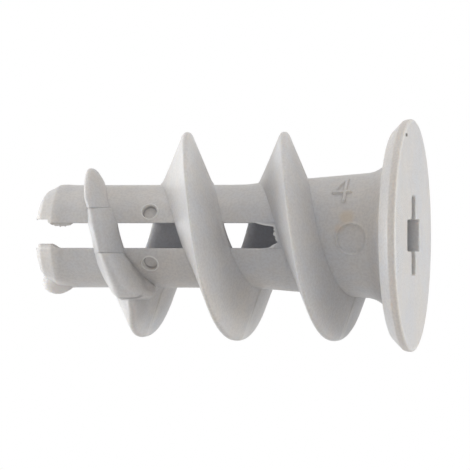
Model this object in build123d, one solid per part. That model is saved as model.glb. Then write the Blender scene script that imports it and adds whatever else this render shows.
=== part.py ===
from build123d import *
import math
import os

# Self-drilling anchor for plasterboard, moulded in one piece. Sizes are in millimetres.
# The anchor stands on its head: the axis is Z, the face of the head is at z = 0 and the tip is up.
# Angles about the axis are in degrees from the front of the slot (+X), towards the first leg (+Y).
# A flight angle goes on counting over whole turns, and the flight climbs towards the tip with it.
# At the end the anchor is turned about its axis so that the front of the slot faces -Y.

# Overall and head
length = 22.0
head_radius = 6.75
head_edge_chamfer = 0.16
rim_thickness = 0.55
head_back_radius = 6.05
head_thickness = 1.1
head_fillet = 1.75

# Shank, wider at the neck and chamfered twice at the tip
core_radius = 3.0
neck_growth = 0.72
taper_length = 9.9
tip_chamfer_depth = 0.36
tip_chamfer_length = 1.07
tip_face_depth = 0.8
tip_face_length = 0.33
tip_rounding = 0.6
neck_radius = core_radius + neck_growth
tip_chamfer_radius = core_radius - tip_chamfer_depth
tip_radius = core_radius - tip_face_depth

# Screw bore, narrowing between the legs so that the screw spreads them
bore_radius = 1.5
bore_tip_radius = 1.0

# Slot between the two legs
slot_width = 1.46
slot_end = 7.8
torn_end_depth = 0.25
torn_shares = (
    (0.36, 2.2),
    (0.38, 1.2),
    (0.34, 0.0),
    (0.14, -0.2),
    (-0.21, -0.8),
    (-0.32, -1.0),
)
lip_height = 0.26
lip_length = 1.04
lip_slope_length = 0.6
lip_thickness = 0.8
relief_depth = 0.21
relief_length = 0.84

# Cross recess for the driver
recess_depth = 3.4
recess_slot_length = 4.7
recess_slot_width = 1.84
recess_cross_length = 4.6
recess_cross_width = 1.42
recess_floor_share = 0.74

# Flight, a little wider at the mould's parting line above and below
flight_lead = 5.765
flight_place = 11.9
flight_bias = 0.05
flight_root_width = 2.66
flight_parting_width = 0.36
flight_top_width = 0.12
flight_crest_height = 3.07
flight_crest_width = 0.34
flight_crest_rounding = 0.2
flight_crest_share = 0.45
bridge_thickness = 0.25
flight_crest_radius = core_radius + flight_crest_height
flight_end_angle = -540.0
runout_angle = 50.0
section_step = 12.0

# First turn of the flight: a low lug on the first leg, then three teeth that grow towards the tall flight.
# Each station is an angle, then the root on the tip's side, the ridge with its height, the shoulder
# with its height and the root on the head's side. Places along the axis are from the flight's line, as
# shares of the flight's root width. Heights are above the core, as shares of the flight's height.
first_bottom_angle = 270.0
first_bottom_share = 0.951
full_radius_angle = 200.0
lug_stations = (
    (468.0, 0.124, -0.045, -0.033, -0.169, -0.033, -0.293),
    (454.0, 0.173, 0.023, 0.235, -0.158, 0.215, -0.350),
    (446.0, 0.177, 0.045, 0.293, -0.165, 0.274, -0.338),
    (415.0, 0.237, 0.105, 0.326, -0.188, 0.300, -0.271),
    (384.0, 0.274, 0.143, 0.391, -0.233, 0.375, -0.256),
)
tooth_stations = (
    (382.5, 0.256, 0.053, 0.293, -0.248, 0.293, -0.248),
    (376.0, 0.263, 0.053, 0.352, -0.278, 0.339, -0.256),
    (360.0, 0.263, 0.045, 0.407, -0.293, 0.378, -0.278),
    (348.5, 0.278, 0.053, 0.450, -0.301, 0.397, -0.286),
    (346.5, 0.301, 0.015, 0.365, -0.293, 0.293, -0.301),
    (341.0, 0.338, 0.008, 0.515, -0.308, 0.358, -0.338),
    (330.0, 0.376, -0.030, 0.593, -0.368, 0.436, -0.398),
    (322.0, 0.406, -0.045, 0.638, -0.481, 0.541, -0.421),
    (315.0, 0.429, -0.053, 0.664, -0.609, 0.632, -0.451),
    (312.5, 0.421, -0.075, 0.541, -0.383, 0.482, -0.481),
    (304.0, 0.444, -0.060, 0.658, -0.323, 0.619, -0.504),
    (288.0, 0.496, 0.038, 0.814, -0.195, 0.814, -0.553),
    (279.0, 0.534, 0.075, 0.866, -0.158, 0.866, -0.564),
)
tooth_bulge = 0.06

# Marks of the mould's ejector pins
pin_mark_radius = 0.43
pin_mark_depth = 0.15
pin_mark_height = 15.17
pin_mark_angle = 30.0
gate_mark_radius = 0.85
gate_mark_depth = 0.05
gate_mark_height = 3.1
gate_mark_angle = -3.0

# Rough lump left below the tip and thin flash left in the slot
barb_radius = 0.74
barb_length = 1.75
barb_shares = ((0, 0), (0.68, 0.06), (0.95, 0.23), (1, 0.43), (0.81, 0.66), (0.41, 0.89), (0, 1))
barb_depth = 0.4
barb_inset = 0.32
flash_start = 0.94
flash_length = 1.41
flash_width = 0.2
flash_shares = (
    (0.50, 0.00),
    (0.00, 0.00),
    (-0.85, 0.11),
    (-1.00, 0.32),
    (-0.70, 0.50),
    (-0.85, 0.67),
    (0.00, 1.00),
    (0.50, 1.00),
)
flash_thickness = 0.25
flash_inset = 0.05

# How far a cut runs past the face that it opens
clearance = 1.0
overshoot = 0.01
corner_tolerance = 0.01

QUARTER_TURN = 90.0
FULL_TURN = 360.0


def on_circle(radius, angle, height):
    """Point at a radius, an angle about the axis and a height along it."""
    turn = math.radians(angle)
    return Vector(radius * math.cos(turn), radius * math.sin(turn), height)


def between(value, start, end, first, last):
    """Value that goes evenly from first to last while value goes from start to end."""
    share = min(max((value - start) / (end - start), 0.0), 1.0)
    return first + share * (last - first)


def cone_radius(height):
    """Radius of the shank at a height above the head's front face."""
    return between(height, head_thickness, taper_length, neck_radius, core_radius)


def corner_at(profile, radius, height):
    """Corners of a turned profile at a radius and a height."""
    return [
        v
        for v in profile.vertices()
        if abs(v.X - radius) < corner_tolerance and abs(v.Z - height) < corner_tolerance
    ]


def make_shank():
    """Head, tapered neck, straight core and chamfered tip, turned in one profile."""
    chamfer_start = length - tip_chamfer_length
    corners = [
        (0, 0),
        (head_radius, 0),
        (head_radius, rim_thickness),
        (head_back_radius, head_thickness),
        (neck_radius, head_thickness),
        (core_radius, taper_length),
        (core_radius, chamfer_start),
        (tip_chamfer_radius, length - tip_face_length),
        (tip_radius, length),
        (0, length),
    ]
    profile = Plane.XZ * make_face(Polyline(*corners, close=True))
    profile = chamfer(corner_at(profile, head_radius, 0), head_edge_chamfer)
    profile = fillet(corner_at(profile, neck_radius, head_thickness), head_fillet)
    profile = fillet(corner_at(profile, core_radius, chamfer_start), tip_rounding)
    return revolve(profile, Axis.Z)


def flight_height(angle):
    """Height of the crest above the head's face, with the front half turns a little steeper."""
    return flight_place + flight_lead * angle / FULL_TURN + flight_bias * math.sin(math.radians(angle))


def parting_share(angle):
    """0 at the front and back of the anchor, 1 at the mould's parting line above and below."""
    return math.sin(math.radians(angle)) ** 2


def tall_station(angle):
    """Station of the tall flight: its crest runs in at the tip's side and runs out at the head."""
    share = between(angle, first_bottom_angle, full_radius_angle, first_bottom_share, 1.0)
    runout_start = flight_end_angle + runout_angle
    if angle < runout_start:
        share = between(angle, runout_start, flight_end_angle, 1.0, 0.0)
    shoulder = share - flight_crest_rounding / flight_crest_height
    parting = flight_parting_width * parting_share(angle)
    half_root = (flight_root_width + parting) / 2 / flight_root_width
    half_crest = (flight_crest_width + parting) / 2 / flight_root_width
    top = flight_top_width * max(math.sin(math.radians(angle)), 0.0) / flight_root_width
    return (angle, half_root, half_crest, shoulder, -half_crest, shoulder, -half_root - top)


def flight_section(station, bulge):
    """Wire round the flight's section: a base inside the core, two flanks and a crest with broken edges."""
    angle, tip_root, ridge, ridge_share, shoulder, shoulder_share, head_root = station
    line = flight_height(angle)

    def corner(place, radius):
        return on_circle(radius, angle, line + place * flight_root_width)

    def above_core(share):
        return core_radius + share * flight_crest_height

    inner = core_radius - bridge_thickness
    crest_radius = above_core((ridge_share + shoulder_share) / 2) + bulge
    middle = (ridge + shoulder) / 2
    half_flat = (ridge - shoulder) / 2 * flight_crest_share
    corners = [
        corner(head_root, inner),
        corner(tip_root, inner),
        corner(ridge, above_core(ridge_share)),
        corner(middle + half_flat, crest_radius),
        corner(middle - half_flat, crest_radius),
        corner(shoulder, above_core(shoulder_share)),
    ]
    return Wire.make_polygon(corners, close=True)


def fill_stations(stations):
    """The stations with more of them evenly between, so that none is further apart than a step."""
    filled = [stations[0]]
    for near, far in zip(stations, stations[1:]):
        count = math.ceil((near[0] - far[0]) / section_step)
        for i in range(1, count + 1):
            filled.append(tuple(a + (b - a) * i / count for a, b in zip(near, far)))
    return filled


def make_flight():
    """The whole flight: lug, teeth, tall turns and run-out, ruled from section to section."""
    count = math.ceil((first_bottom_angle - flight_end_angle) / section_step)
    step = (flight_end_angle - first_bottom_angle) / count
    tall = [tall_station(first_bottom_angle + step * i) for i in range(count + 1)]
    first = fill_stations(lug_stations + tooth_stations + (tall[0],))[:-1]
    sections = [flight_section(station, tooth_bulge) for station in first]
    sections += [flight_section(station, flight_crest_rounding) for station in tall]
    return Solid.make_loft(sections, ruled=True)


def radial_cylinder(radius, angle, height, inner, outer):
    """Round pin that points away from the axis, from an inner to an outer distance."""
    base = Plane(origin=on_circle(inner, angle, height), z_dir=on_circle(1, angle, 0))
    return base * extrude(Circle(radius), outer - inner)


def make_slot():
    """Slot through the core, with a torn end in the front wall and a square one in the back wall."""
    half = slot_width / 2
    reach = core_radius + slot_width
    end = slot_end + torn_end_depth
    top = length + clearance
    back = Pos(-reach / 2, 0, (end + top) / 2) * Box(reach, slot_width, top - end)
    torn = make_face(
        Polyline(
            (half, length + clearance),
            (half, slot_end + slot_width / 2),
            *((across * slot_width, slot_end + along * torn_end_depth) for across, along in torn_shares),
            (-half, slot_end),
            (-half, length + clearance),
            close=True,
        )
    )
    front = extrude(Plane.YZ * torn, reach)
    return back + front


def make_bore():
    """Screw bore from the head's face to the tip, narrowing from the end of the slot on."""
    corners = [
        (0, -overshoot),
        (bore_radius, -overshoot),
        (bore_radius, slot_end),
        (bore_tip_radius, length + overshoot),
        (0, length + overshoot),
    ]
    return revolve(Plane.XZ * make_face(Polyline(*corners, close=True)), Axis.Z)


def recess_outline(share):
    """Cross of two arms, at a share of its full size."""
    slot = Rectangle(recess_slot_length * share, recess_slot_width * share)
    cross = Rectangle(recess_cross_width * share, recess_cross_length * share)
    return slot + cross


def make_recess():
    """Cross recess that narrows towards its floor."""
    mouth = Pos(0, 0, -overshoot) * recess_outline(1.0)
    floor = Pos(0, 0, recess_depth) * recess_outline(recess_floor_share)
    return loft([mouth.face(), floor.face()])


def make_lip():
    """Cutting lip of the lower leg: it stands into the slot at the tip and slopes down to its wall."""
    wall = slot_width / 2
    root = wall + bridge_thickness
    start = length - lip_length
    side = make_face(
        Polyline(
            (-root, length),
            (-wall + lip_height, length),
            (-wall + lip_height, start),
            (-wall, start - lip_slope_length),
            (-root, start - lip_slope_length),
            close=True,
        )
    )
    front = Pos(core_radius - lip_thickness, 0, 0) * extrude(Plane.YZ * side, lip_thickness)
    return front & make_shank()


def make_relief():
    """Clearance facing the cutting lip, taken off the upper leg's wall at the tip."""
    wide = slot_width / 2 + relief_depth
    tall = relief_length + clearance
    return Pos(0, wide / 2, length - relief_length + tall / 2) * Box(2 * core_radius, wide, tall)


def make_barb():
    """Rough lump on the outside of the lower leg: a drop with its thin end towards the head."""
    corners = [(wide * barb_radius, length - behind * barb_length) for wide, behind in barb_shares]
    drop = revolve(Plane.XZ * make_face(Polyline(*corners, close=True)), Axis.Z)
    return Pos(barb_depth, barb_inset - core_radius, 0) * drop


def make_flash():
    """Thin flash hanging into the slot from the front edge of the upper leg."""
    edge = slot_width / 2
    start = length - flash_start
    corners = [
        (edge + across * flash_width, start - behind * flash_length) for across, behind in flash_shares
    ]
    sheet = extrude(Plane.YZ * make_face(Polyline(*corners, close=True)), flash_thickness)
    front = math.sqrt(core_radius ** 2 - edge ** 2)
    return Pos(front - flash_thickness - flash_inset, 0, 0) * sheet


def make_marks():
    """Shallow round marks that the ejector pins and the gate leave."""
    floor = core_radius - pin_mark_depth
    outside = neck_radius + clearance
    marks = [
        radial_cylinder(pin_mark_radius, angle, pin_mark_height, floor, outside)
        for angle in (pin_mark_angle, -pin_mark_angle)
    ]
    floor = cone_radius(gate_mark_height) - gate_mark_depth
    marks.append(radial_cylinder(gate_mark_radius, gate_mark_angle, gate_mark_height, floor, outside))
    return marks


def make_anchor():
    """One solid: the turned shank, slotted and bored, with the flight bridging the slot."""
    anchor = make_shank() - make_slot() - make_relief()
    anchor = anchor + make_lip()
    anchor = anchor + make_flash()
    anchor = anchor + make_barb()
    for mark in make_marks():
        anchor = anchor - mark
    anchor = anchor - make_bore() - make_recess()
    return anchor + make_flight()


part = make_anchor().rotate(Axis.Z, -QUARTER_TURN)
os.makedirs("parts", exist_ok=True)
export_step(part, "parts/anchor_body.step")
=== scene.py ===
"""Looks, light and camera for a self-drilling plasterboard anchor moulded in nylon.

The anchor stands on its head: Z is its axis, the head's face is at z = 0 and the front of the slot faces -Y.
The picture is taken from a little below the head's face, with the camera turned so that the anchor lies
across the image, tip to the left. Lengths in the dataclasses are in millimetres and become metres in the
meshes and materials.
"""

from __future__ import annotations

import logging
import math
from abc import ABC, abstractmethod
from dataclasses import dataclass
from enum import Enum
from functools import cached_property

import bpy
import numpy as np
from mathutils import Matrix, Vector

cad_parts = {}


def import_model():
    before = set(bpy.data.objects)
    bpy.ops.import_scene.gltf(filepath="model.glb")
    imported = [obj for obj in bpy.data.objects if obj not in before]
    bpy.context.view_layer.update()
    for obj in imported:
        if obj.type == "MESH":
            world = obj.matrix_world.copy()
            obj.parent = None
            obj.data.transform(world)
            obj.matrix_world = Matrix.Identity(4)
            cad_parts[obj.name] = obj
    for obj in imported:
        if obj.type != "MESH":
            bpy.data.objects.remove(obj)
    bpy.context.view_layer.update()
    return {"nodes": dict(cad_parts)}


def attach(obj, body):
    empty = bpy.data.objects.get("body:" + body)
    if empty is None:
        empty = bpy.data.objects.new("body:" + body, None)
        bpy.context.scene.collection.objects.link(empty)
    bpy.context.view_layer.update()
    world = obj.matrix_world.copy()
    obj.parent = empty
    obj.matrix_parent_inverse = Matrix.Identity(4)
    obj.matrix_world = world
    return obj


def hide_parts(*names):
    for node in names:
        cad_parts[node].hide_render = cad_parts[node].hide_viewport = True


LOG = logging.getLogger("anchor")
MM = 0.001
SHARP_DEG = 48.0
Triple = tuple[float, float, float]
Row = tuple[float, ...]
Socket = bpy.types.NodeSocket
# Dark colour of painted shade, laid in the creases by tooth B and just inside the pin marks.
PAINTED_SHADE: Triple = (0.30, 0.29, 0.29)
TORN_PALE: Triple = (0.93, 0.92, 0.90)
# Pale colour of a painted highlight on the pin marks' raised rings.
PAINTED_RING_HIGHLIGHT: Triple = (0.86, 0.85, 0.82)


class Slot(Enum):
    """Material slots of the part."""

    NYLON = "nylon"


class Side(Enum):
    """The two legs, by the side of the slot that they are on."""

    FIRST = 1.0
    SECOND = -1.0


class Along(Enum):
    """Measures that the strength of a tint can depend on."""

    RADIUS = "distance from the axis"
    HEIGHT = "height above the head's face"
    DEPTH = "depth behind the parting plane"


def smooth_step(value: np.ndarray, low: float, high: float) -> np.ndarray:
    """Goes smoothly from 0 at low to 1 at high: t * t * (3 - 2 t), with t the share between them."""
    share = np.clip((value - low) / (high - low), 0.0, 1.0)
    return share * share * (3.0 - 2.0 * share)


def turned(radius: np.ndarray, angle: np.ndarray, height: np.ndarray) -> np.ndarray:
    """Points at radii, angles from the front and heights: x = r sin(a), y = -r cos(a), z = height."""
    radius, angle, height = np.broadcast_arrays(radius, angle, height)
    return np.stack((radius * np.sin(angle), -radius * np.cos(angle), height), axis=-1)


def stacked(*corners: tuple[np.ndarray | float, np.ndarray | float]) -> np.ndarray:
    """Gathers corners, each given by its two coordinates in every outline, as (outline, corner, 2)."""
    return np.stack([np.stack(np.broadcast_arrays(*corner), axis=-1) for corner in corners], axis=1)


def spread(corners: np.ndarray, counts: tuple[int, ...]) -> np.ndarray:
    """Fills closed outlines with points, evenly along each edge: p = a + (b - a) i / n.

    Args:
        corners: Corners of each outline, as an array (outline, corner, axis).
        counts: How many points each edge gets, its first corner included.

    Returns:
        Array (outline, point, axis).
    """
    edges = np.roll(corners, -1, axis=1) - corners
    runs = []
    for edge, count in enumerate(counts):
        share = (np.arange(count) / count)[None, :, None]
        runs.append(corners[:, edge : edge + 1] + edges[:, edge : edge + 1] * share)
    return np.concatenate(runs, axis=1)


def soften(outlines: np.ndarray, rounds: int) -> np.ndarray:
    """Rounds closed outlines: in each round a point becomes half itself and a quarter of each neighbour.

    Args:
        outlines: Array (outline, point, axis).
        rounds: How often it is done.

    Returns:
        Array of the same shape.
    """
    for _ in range(rounds):
        outlines = (np.roll(outlines, 1, axis=1) + 2.0 * outlines + np.roll(outlines, -1, axis=1)) / 4.0
    return outlines


def read_table(table: tuple[Row, ...], place: np.ndarray) -> list[np.ndarray]:
    """Reads every column of a table but the first, at places between those in its first column."""
    rows = np.array(sorted(table))
    return [np.interp(place, rows[:, 0], column) for column in rows.T[1:]]


def open_shares(count: int) -> np.ndarray:
    """Gives count even shares from 0 up to but without 1, as a row."""
    return np.linspace(0.0, 1.0, count, endpoint=False)[None, :]


def grid_faces(rows: int, columns: int, loop: bool) -> list[tuple[int, ...]]:
    """Quads of a grid whose columns close on themselves.

    Args:
        rows: Number of rows.
        columns: Number of columns, the last of which joins the first.
        loop: Whether the last row joins the first too.

    Returns:
        Faces as tuples of vertex numbers, row by row.
    """
    row = np.arange(rows if loop else rows - 1)[:, None]
    column = np.arange(columns)[None, :]
    after = (row + 1) % rows
    beside = (column + 1) % columns
    corners = (
        row * columns + column,
        row * columns + beside,
        after * columns + beside,
        after * columns + column,
    )
    return list(map(tuple, np.stack(corners, axis=-1).reshape(-1, 4).tolist()))


@dataclass(frozen=True)
class Shank:
    """Sizes that the head, the legs and the flight share."""

    length: float = 22.0
    core_radius: float = 3.01
    neck_radius: float = 3.765
    neck_start: float = 1.1
    neck_end: float = 9.9
    bore_radius: float = 1.5
    bore_tip_radius: float = 1.0
    slot_end: float = 7.8
    slot_half: float = 0.73

    def outside(self, height: np.ndarray | float) -> np.ndarray:
        """Outer radius of the shank: from the neck's radius evenly down to the core's."""
        share = np.clip((height - self.neck_start) / (self.neck_end - self.neck_start), 0.0, 1.0)
        return self.neck_radius + (self.core_radius - self.neck_radius) * share

    def inside(self, height: np.ndarray) -> np.ndarray:
        """Radius of the screw bore: constant up to the slot's end, then evenly narrower to the tip."""
        share = np.clip((height - self.slot_end) / (self.length - self.slot_end), 0.0, 1.0)
        return self.bore_radius + (self.bore_tip_radius - self.bore_radius) * share


@dataclass(frozen=True)
class Piece(ABC):
    """One closed surface of the moulding, made from a grid of points whose columns close on themselves.

    Where it loops, its last row joins the first. Otherwise both of these rows get a flat cap.
    """

    name: str
    shank = Shank()
    loops = False

    @abstractmethod
    def points(self) -> np.ndarray:
        """Gives the points in millimetres, as an array (row, column, 3)."""

    def build(self, material: bpy.types.Material) -> bpy.types.Object:
        """Makes the piece as a smooth object at the origin.

        The faces are turned outwards by the sign of the enclosed volume, the sum of a . (b x c) / 6 over the
        triangles.

        Args:
            material: Finish of the piece.

        Returns:
            The new object.
        """
        points = self.points()
        rows, columns = points.shape[:2]
        flat = points.reshape(-1, 3)
        faces = grid_faces(rows, columns, self.loops)
        quads = np.array(faces)
        a, b, c, d = (flat[quads[:, k]] for k in range(4))
        volume = np.einsum("ij,ij->", a, np.cross(b, c) + np.cross(c, d))
        if not self.loops:
            faces.append(tuple(range(columns - 1, -1, -1)))
            faces.append(tuple(range((rows - 1) * columns, rows * columns)))
            for ring, sign in ((points[0], -1.0), (points[-1], 1.0)):
                fan = np.cross(ring, np.roll(ring, -1, axis=0))
                volume += sign * (fan @ ring.mean(axis=0)).sum()
        if volume < 0.0:
            faces = [face[::-1] for face in faces]
        mesh = bpy.data.meshes.new(self.name)
        mesh.from_pydata((flat * MM).tolist(), [], faces)
        mesh.polygons.foreach_set("use_smooth", np.ones(len(faces), dtype=bool))
        mesh.update()
        mesh.set_sharp_from_angle(angle=math.radians(SHARP_DEG))
        mesh.materials.append(material)
        piece = bpy.data.objects.new(self.name, mesh)
        bpy.context.collection.objects.link(piece)
        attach(piece, "root")
        LOG.info("%s: %d faces", self.name, len(faces))
        return piece


class Relief(ABC):
    """Form that is raised from the shank or sunk into it."""

    @abstractmethod
    def relief(self, angle: np.ndarray, height: np.ndarray, shank_radius: np.ndarray) -> np.ndarray:
        """Gives the form's height above the shank, at angles in radians and heights on its surface."""


@dataclass(frozen=True)
class RoundMark(Relief):
    """Round mark on the shank: a shallow flat dish with a thin raised ring round it."""

    height: float
    angle_deg: float
    radius: float
    depth: float
    ring_height: float
    ring_width: float
    wall: float

    def relief(self, angle: np.ndarray, height: np.ndarray, shank_radius: np.ndarray) -> np.ndarray:
        """Gives -depth inside the radius, plus ring_height exp(-((d - radius - width) / width)^2).

        Here d is the distance from the mark's middle.

        Args:
            angle: Angles about the axis, in radians.
            height: Heights above the head's face.
            shank_radius: Radius of the shank there.

        Returns:
            Array of the same shape.
        """
        turn = angle - math.radians(self.angle_deg)
        away = np.hypot(shank_radius * np.sin(turn), height - self.height)
        dish = -self.depth * (1.0 - smooth_step(away, self.radius - self.wall, self.radius))
        ring = self.ring_height * np.exp(-(((away - self.radius - self.ring_width) / self.ring_width) ** 2))
        return np.where(np.cos(turn) > 0.0, dish + ring, 0.0)


@dataclass(frozen=True)
class RaisedDigit(Relief):
    """Plain raised figure 4 on the neck, drawn with three strokes."""

    height: float = 3.81
    angle_deg: float = 49.0
    tall: float = 1.9
    wide: float = 0.95
    stem_share: float = 0.4
    bar_share: float = 0.3
    full_half: float = 0.051
    faded_half: float = 0.136
    relief_height: float = 0.14

    def relief(self, angle: np.ndarray, height: np.ndarray, shank_radius: np.ndarray) -> np.ndarray:
        """Gives the full height within a stroke's half width, falling off beside it.

        The distance to a stroke from p to q is the length of w - (q - p) t, with w the offset from p and t
        the share (w . (q - p)) / |q - p|^2 held between 0 and 1.

        Args:
            angle: Angles about the axis, in radians.
            height: Heights above the head's face.
            shank_radius: Radius of the shank there.

        Returns:
            Array of the same shape.
        """
        upward = shank_radius * (angle - math.radians(self.angle_deg))
        rightward = self.height - height
        half_tall, half_wide = self.tall / 2.0, self.wide / 2.0
        stem, bar = half_wide * self.stem_share, -half_tall * self.bar_share
        strokes = (
            ((stem, -half_tall), (stem, half_tall)),
            ((stem, half_tall), (-half_wide, bar)),
            ((-half_wide, bar), (half_wide, bar)),
        )
        nearest = np.full(upward.shape, np.inf)
        for (px, py), (qx, qy) in strokes:
            dx, dy = qx - px, qy - py
            share = ((rightward - px) * dx + (upward - py) * dy) / (dx * dx + dy * dy)
            share = np.clip(share, 0.0, 1.0)
            away = np.hypot(rightward - px - dx * share, upward - py - dy * share)
            nearest = np.minimum(nearest, away)
        return self.relief_height * (1.0 - smooth_step(nearest, self.full_half, self.faded_half))


@dataclass(frozen=True)
class Head(Piece):
    """Wide flat head with its cross recess, and the neck down to the slot's end.

    The rim has a quarter ellipse for its front corner, narrows by the barrel and goes over the slope's corner
    into the slope. Each nub has its angle, width, height, place in height and reach.
    """

    loops = True
    radius: float = 6.744
    slope_start: float = 0.55
    back_radius: float = 6.05
    thickness: float = 1.1
    fillet: float = 1.75
    edge: float = 0.20
    edge_tall: float = 0.15
    rim_end: float = 0.37
    barrel: float = 0.03
    slope_corner: tuple[float, float, float] = (0.035, 0.18, 0.12)
    back_corner: tuple[float, float, float] = (0.05, 0.03, 0.045)
    mouth_bore: float = 1.08
    mouth_edge: float = 0.1
    recess_depth: float = 3.4
    recess_floor_share: float = 0.74
    slot_half: tuple[float, float] = (2.35, 0.92)
    cross_half: tuple[float, float] = (0.80, 2.30)
    arm_power: float = 14.0
    join_power: float = 30.0
    torn_depth: float = 0.42
    torn_length: float = 1.1
    columns: int = 488
    mark: RoundMark = RoundMark(3.08, -3.0, 0.86, 0.10, 0.06, 0.05, 0.05)
    digit: RaisedDigit = RaisedDigit()
    nubs: tuple[Row, ...] = ((303.0, 1.1, 0.10, 0.86, 0.13), (306.5, 1.4, 0.13, 0.84, 0.16))

    def recess_radius(self, angle: np.ndarray, share: float) -> np.ndarray:
        """Distance from the axis to the recess's wall: the furthest of the two arms and the bore.

        An arm of half sides a and b reaches min(a / |cos t|, b / |sin t|). The least and the most are taken
        with high powers, which rounds the corners.

        Args:
            angle: Angles about the axis, in radians.
            share: Size of the cross, as a share of its mouth.

        Returns:
            Array of the same shape.
        """
        never_zero = 1e-4
        cosine, sine = np.abs(np.cos(angle)) + never_zero, np.abs(np.sin(angle)) + never_zero
        deep = (1.0 - share) / (1.0 - self.recess_floor_share)
        total = (self.mouth_bore + (self.shank.bore_radius - self.mouth_bore) * deep**2) ** self.join_power
        for along, across in (self.slot_half, self.cross_half):
            least = (along * share / cosine) ** -self.arm_power + (across * share / sine) ** -self.arm_power
            total = total + least ** (-self.join_power / self.arm_power)
        return total ** (1.0 / self.join_power)

    def profile(self) -> tuple[np.ndarray, np.ndarray]:
        """Outside of the head and neck, from the face's edge to the slot's end, with rounded corners.

        Returns:
            Radii and heights along the profile.
        """
        back = self.thickness
        foot = float(self.shank.outside(back))
        slope = math.atan2(back - self.slope_start, self.radius - self.back_radius)
        lean = math.atan2(foot - self.shank.core_radius, self.shank.neck_end - self.shank.neck_start)
        centre = foot - self.fillet * math.tan(lean) + self.fillet / math.cos(lean)
        corner_in, corner_round, corner_tall = self.slope_corner
        back_wide, back_in, back_tall = self.back_corner
        quarter = np.linspace(0.0, math.pi / 2.0, 10)
        wall = np.linspace(0.15, 1.0, 7)
        turn = np.linspace(0.0, 1.0, 5)
        sweep = np.linspace(0.0, math.pi / 2.0 - lean, 26)
        gap = 0.06
        cone = np.linspace(back + self.fillet * (1.0 - math.cos(sweep[-1])) + gap, self.shank.slot_end, 84)
        runs = (
            (self.radius - self.edge + self.edge * np.sin(quarter), self.edge_tall * (1.0 - np.cos(quarter))),
            (self.radius - self.barrel * wall**2, self.edge_tall + (self.rim_end - self.edge_tall) * wall),
            (
                self.radius - corner_in - corner_round * (1.0 - np.cos(turn * slope)),
                self.rim_end + 0.01 + turn * corner_tall,
            ),
            (
                self.back_radius + back_wide * (1.0 - turn) ** 1.5 - back_in * turn,
                back - back_tall * (1.0 - turn) ** 1.5,
            ),
            (np.linspace(self.back_radius - 0.1, centre + 0.05, 8), np.full(8, back)),
            (centre - self.fillet * np.sin(sweep), back + self.fillet - self.fillet * np.cos(sweep)),
            (self.shank.outside(cone), cone),
        )
        radii, heights = zip(*runs)
        return np.concatenate(radii), np.concatenate(heights)

    def torn_open(self, angles: np.ndarray, radii: np.ndarray, heights: np.ndarray) -> np.ndarray:
        """How far the slot reaches past its end at the front.

        It is the full depth between the slot's walls at the end, and falls off over the torn length.

        Args:
            angles: Angles about the axis, in radians.
            radii: Distances from the axis.
            heights: Heights above the head's face.

        Returns:
            Array of the same shape.
        """
        across = np.abs(radii * np.sin(angles))
        outside = smooth_step(across, self.shank.slot_half - 0.02, self.shank.slot_half + 0.04)
        end = self.shank.slot_end
        open_share = (1.0 - outside) * (np.cos(angles) > 0.0)
        return self.torn_depth * open_share * smooth_step(heights, end - self.torn_length, end)

    def edge_nubs(self, angles: np.ndarray, radii: np.ndarray, heights: np.ndarray) -> np.ndarray:
        """Height of the flash nubs on the rim: bumps exp(-(da / width)^4 - (dz / reach)^4) at their places.

        Args:
            angles: Angles about the axis, in radians.
            radii: Distances from the axis.
            heights: Heights above the head's face.

        Returns:
            Array of the same shape.
        """
        grown = np.zeros_like(angles)
        degrees = np.degrees(angles)
        uneven = 0.85 + 0.15 * np.sin(degrees * 2.3)
        for place, width, high, height, reach in self.nubs:
            away = ((degrees - place) / width) ** 4 + ((heights - height) / reach) ** 4
            grown = grown + high * np.exp(-away) * uneven
        return grown * smooth_step(radii, self.back_radius - 0.1, self.back_radius + 0.15)

    def points(self) -> np.ndarray:
        """Gives a ring of profiles, each going up the bore, out over the face and back along the neck.

        Returns:
            Array (row, column, 3), in millimetres.
        """
        angle = np.linspace(0.0, 2.0 * math.pi, self.columns, endpoint=False)[None, :]
        bore, end = self.shank.bore_radius, self.shank.slot_end
        lip, depth = self.mouth_edge, self.recess_depth
        rows = [(bore, height) for height in np.linspace(end, depth + 0.05, 14)]
        floor = self.recess_radius(angle, self.recess_floor_share)
        rows += [(bore * (1.0 - share) + floor * share, depth) for share in np.linspace(0.0, 1.0, 5)]
        for height in (*np.linspace(depth - 0.05, 0.3, 16), 0.2, 0.14, lip):
            size = 1.0 - (1.0 - self.recess_floor_share) * height / depth
            rows.append((self.recess_radius(angle, size), height))
        mouth = self.recess_radius(angle, 1.0)
        for turn in np.linspace(0.0, math.pi / 2.0, 5):
            rows.append((mouth + lip * (1.0 - math.cos(turn)), lip * (1.0 - math.sin(turn))))
        outer = self.radius - self.edge
        for share in (0.03, 0.1, 0.2, 0.3, 0.42, 0.55, 0.7, 0.85, 0.97):
            rows.append(((mouth + lip) * (1.0 - share) + outer * share, 0.0))
        rows += list(zip(*self.profile()))
        start = float(self.shank.outside(end))
        rows += [(start * (1.0 - share) + bore * share, end) for share in np.linspace(0.1, 0.9, 5)]
        radii = np.concatenate([np.broadcast_to(radius, angle.shape) for radius, _ in rows])
        heights = np.concatenate([np.full_like(angle, height) for _, height in rows])
        angles = np.broadcast_to(angle, radii.shape)
        beyond_recess = 3.0
        on_neck = (heights > self.thickness + 0.3) & (radii > beyond_recess) & (heights < end - 0.01)
        relief = self.digit.relief(angles, heights, radii) + self.mark.relief(angles, heights, radii)
        opened = self.torn_open(angles, radii, heights)
        radii = radii + np.where(on_neck, relief, 0.0) + self.edge_nubs(angles, radii, heights)
        return turned(radii, angles, heights - opened)


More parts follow.
